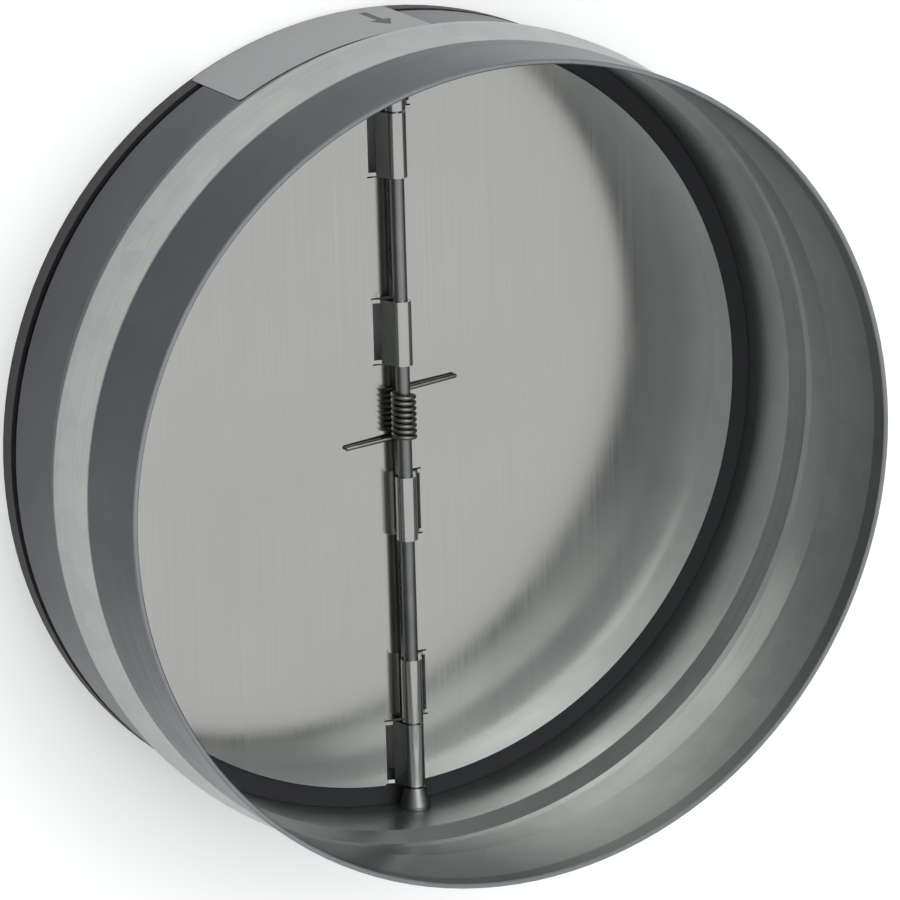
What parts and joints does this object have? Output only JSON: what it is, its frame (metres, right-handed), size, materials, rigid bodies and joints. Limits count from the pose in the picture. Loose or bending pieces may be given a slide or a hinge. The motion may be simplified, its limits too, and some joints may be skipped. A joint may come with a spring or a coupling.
{
  "type": "duct backdraft damper",
  "caption": "Short round duct section with a rolled bead and spring-closed half-round flaps on a centre pin, shutting on a rubber edge seal so air passes one way.",
  "frame": {"origin": "on the duct axis, in the plane of the inlet edge that the damper stands on", "axes": "+Z along the duct with the air, from inlet to outlet; the hinge pin lies along Y, the left flap at -X and the right flap at +X"},
  "size_m": [0.2026, 0.2026, 0.075],
  "materials": {
    "galvanised_sheet": "galvanised, satin",
    "black_rubber": "matt",
    "flap_aluminium": "mill finish",
    "zinc_steel": "zinc plated",
    "spring_steel": "oiled wire"
  },
  "bodies": {
    "casing": {"casing": "galvanised_sheet", "inlet_seal": "black_rubber", "hinge_pin": "zinc_steel", "torsion_spring": "spring_steel", "upper_bush": "zinc_steel", "lower_bush": "zinc_steel"},
    "left_flap": {"left_flap": "flap_aluminium"},
    "right_flap": {"right_flap": "flap_aluminium"}
  },
  "joints": [
    {"name": "left_flap_hinge", "type": "hinge", "parent": "casing", "child": "left_flap", "pos_m": [0, 0, 0.0134], "axis": [0, 1, 0], "range_deg": [0, 85], "stiffness_Nm_per_rad": 0.006, "springref_deg": -57.3, "deforming": ["torsion_spring"]},
    {"name": "right_flap_hinge", "type": "hinge", "parent": "casing", "child": "right_flap", "pos_m": [0, 0, 0.0134], "axis": [0, -1, 0], "range_deg": [0, 85], "stiffness_Nm_per_rad": 0.006, "springref_deg": -57.3, "deforming": ["torsion_spring"]}
  ]
}
